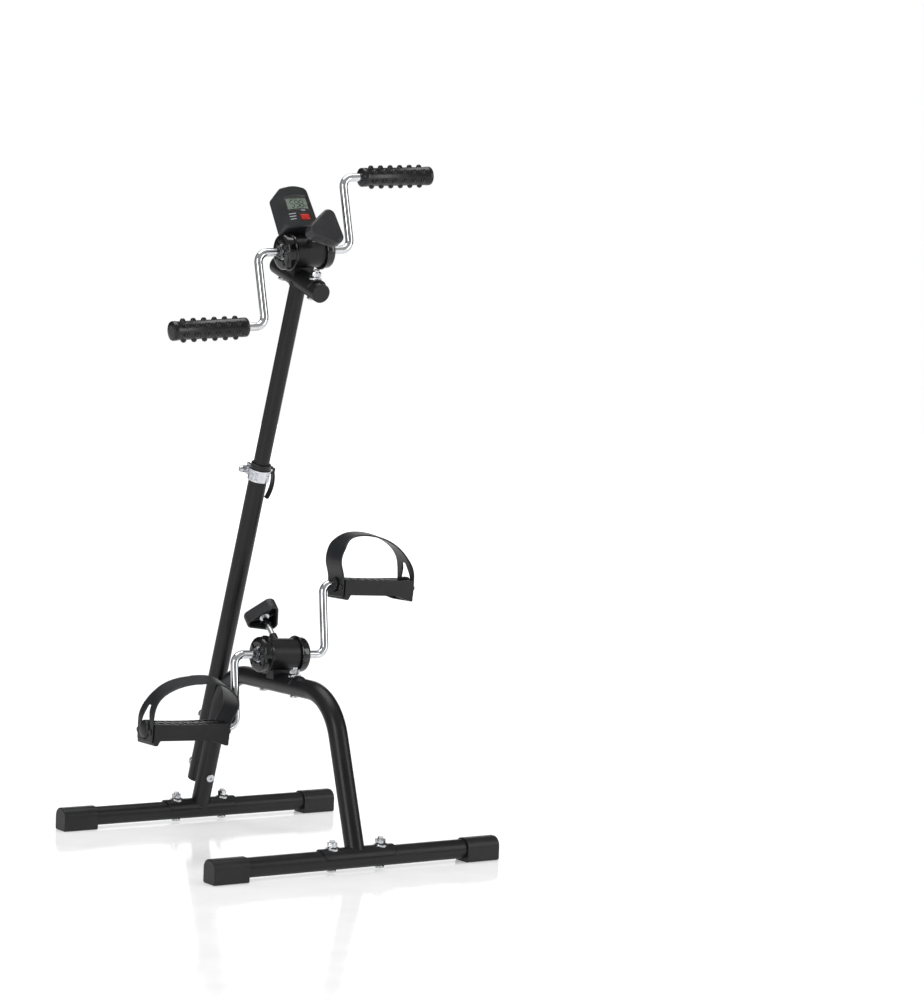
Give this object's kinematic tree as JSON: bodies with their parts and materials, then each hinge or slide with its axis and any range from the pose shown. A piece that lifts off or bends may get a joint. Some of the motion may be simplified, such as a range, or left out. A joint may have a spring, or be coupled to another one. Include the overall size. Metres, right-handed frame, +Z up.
{
  "type": "pedal exerciser",
  "caption": "Free-standing exerciser with a bent tube frame, foot cranks with strapped pedals below, hand cranks with studded grips on a leaning mast above, and a small monitor.",
  "frame": {"origin": "on the floor, at the middle of the part's whole width and depth, which is within a few millimetres of midway between the two floor bars", "axes": "+X to the right along the crank axles as the seated user sees it, +Y away from the user, +Z up"},
  "size_m": [0.473, 0.5036, 1.0141],
  "materials": {
    "frame_paint": "satin black powder coat",
    "foot_cap": "fine-textured moulded plastic",
    "zinc": "bright zinc plate",
    "clamp_metal": "polished chrome plate",
    "clamp_lever": "black coated steel",
    "bush": "moulded plastic",
    "plug": "moulded plastic",
    "end_cap": "glossy moulded plastic",
    "crank_chrome": "polished chrome plate",
    "drum": "natural nylon",
    "brake_pad": "pressed fibre",
    "knob": "satin moulded plastic",
    "grip_rubber": "matte moulded rubber",
    "pedal_plastic": "satin moulded plastic",
    "strap_rubber": "satin moulded rubber",
    "monitor_case": "satin moulded plastic",
    "window": "clear window",
    "display": "grey-green liquid crystal panel",
    "button": "red soft-touch plastic",
    "board": "green circuit board",
    "cell": "steel battery can"
  },
  "bodies": {
    "base": {"frame_tube": "frame_paint", "floor_bar_front": "frame_paint", "floor_bar_rear": "frame_paint", "lower_mast": "frame_paint", "leg_hub": "frame_paint", "foot_cap_front_left": "foot_cap", "foot_cap_front_right": "foot_cap", "foot_cap_rear_left": "foot_cap", "foot_cap_rear_right": "foot_cap", "frame_bolts": "zinc", "frame_washers": "zinc", "frame_nuts": "zinc", "mast_bolts": "zinc", "mast_washers": "zinc", "clamp_band": "clamp_metal", "clamp_bolt": "zinc", "clamp_pin": "zinc", "clamp_nut": "clamp_metal", "clamp_sleeve": "clamp_metal", "leg_end_cap_left": "end_cap", "leg_end_cap_right": "end_cap"},
    "bush": {"mast_bush": "bush"},
    "head": {"upper_mast": "frame_paint", "t_bar_cap": "plug", "t_bar_plug": "plug", "arm_hub": "frame_paint", "arm_end_cap_left": "end_cap", "arm_end_cap_right": "end_cap", "head_bolts": "zinc", "head_washers": "zinc", "head_nuts": "zinc", "monitor_case": "monitor_case", "monitor_back": "monitor_case", "monitor_lens": "window", "monitor_display": "display", "monitor_board": "board", "monitor_cell": "cell"},
    "button": {"monitor_button": "button"},
    "lever": {"clamp_lever": "clamp_lever"},
    "arm_cranks": {"arm_crank_left": "crank_chrome", "arm_crank_right": "crank_chrome", "arm_drum": "drum", "arm_lock_nuts": "zinc"},
    "left_grip": {"grip_left": "grip_rubber"},
    "right_grip": {"grip_right": "grip_rubber"},
    "arm_brake": {"arm_pad": "brake_pad"},
    "arm_tension": {"arm_knob": "knob", "arm_knob_screw": "zinc"},
    "leg_cranks": {"leg_crank_left": "crank_chrome", "leg_crank_right": "crank_chrome", "leg_drum": "drum", "leg_lock_nuts": "zinc", "pedal_push_nuts": "zinc"},
    "left_pedal": {"pedal_left": "pedal_plastic", "strap_left": "strap_rubber"},
    "right_pedal": {"pedal_right": "pedal_plastic", "strap_right": "strap_rubber"},
    "leg_brake": {"leg_pad": "brake_pad"},
    "leg_tension": {"leg_knob": "knob", "leg_knob_screw": "zinc"}
  },
  "joints": [
    {"name": "mast_swivel", "type": "hinge", "parent": "base", "child": "bush", "pos_m": [0, 0.23332, 0.0642], "axis": [0, -0.3256, 0.9455], "continuous": true},
    {"name": "mast_height", "type": "slide", "parent": "bush", "child": "head", "axis": [0, -0.3256, 0.9455], "range_m": [-0.14, 0.14]},
    {"name": "clamp_lever", "type": "hinge", "parent": "base", "child": "lever", "pos_m": [0.0297, 0.08723, 0.55143], "axis": [0, -0.9455, -0.3256], "range_deg": [0, 150]},
    {"name": "arm_crank", "type": "hinge", "parent": "head", "child": "arm_cranks", "pos_m": [0, -0.0441, 0.87511], "axis": [0.9963, -0.0278, 0.0808], "continuous": true},
    {"name": "left_grip_spin", "type": "hinge", "parent": "arm_cranks", "child": "left_grip", "pos_m": [0.00806, -0.05915, 0.77049], "axis": [0.9963, -0.0278, 0.0808], "continuous": true},
    {"name": "right_grip_spin", "type": "hinge", "parent": "arm_cranks", "child": "right_grip", "pos_m": [-0.00806, -0.02906, 0.97972], "axis": [0.9963, -0.0278, 0.0808], "continuous": true},
    {"name": "arm_brake_travel", "type": "slide", "parent": "head", "child": "arm_brake", "axis": [0.0572, 0.9197, -0.3884], "range_m": [-0.0038, 0.0004]},
    {"name": "arm_knob_turn", "type": "hinge", "parent": "arm_brake", "child": "arm_tension", "pos_m": [-0.00448, -0.04398, 0.87474], "axis": [0.0572, 0.9197, -0.3884], "range_deg": [-1080, 108]},
    {"name": "monitor_button", "type": "slide", "parent": "head", "child": "button", "axis": [0.0645, 0.8651, -0.4974], "range_m": [0, 0.0012], "stiffness_N_per_m": 500, "springref_m": -0.0006},
    {"name": "leg_crank", "type": "hinge", "parent": "base", "child": "leg_cranks", "pos_m": [0, -0.00833, 0.28255], "axis": [0.9994, 0, -0.0349], "continuous": true},
    {"name": "left_pedal_spin", "type": "hinge", "parent": "leg_cranks", "child": "left_pedal", "pos_m": [-0.10658, -0.02673, 0.18182], "axis": [0.9994, 0, -0.0349], "continuous": true},
    {"name": "right_pedal_spin", "type": "hinge", "parent": "leg_cranks", "child": "right_pedal", "pos_m": [0.10658, 0.01008, 0.38328], "axis": [0.9994, 0, -0.0349], "continuous": true},
    {"name": "leg_brake_travel", "type": "slide", "parent": "base", "child": "leg_brake", "axis": [-0.0234, -0.7431, -0.6687], "range_m": [-0.0038, 0.0004]},
    {"name": "leg_knob_turn", "type": "hinge", "parent": "leg_brake", "child": "leg_tension", "pos_m": [0.0025, -0.00833, 0.28246], "axis": [-0.0234, -0.7431, -0.6687], "range_deg": [-1080, 108]}
  ],
  "couplings": [
    {"joint": "arm_brake_travel", "follows": "arm_knob_turn", "m_per_rad": 0.00019894},
    {"joint": "leg_brake_travel", "follows": "leg_knob_turn", "m_per_rad": 0.00019894}
  ]
}
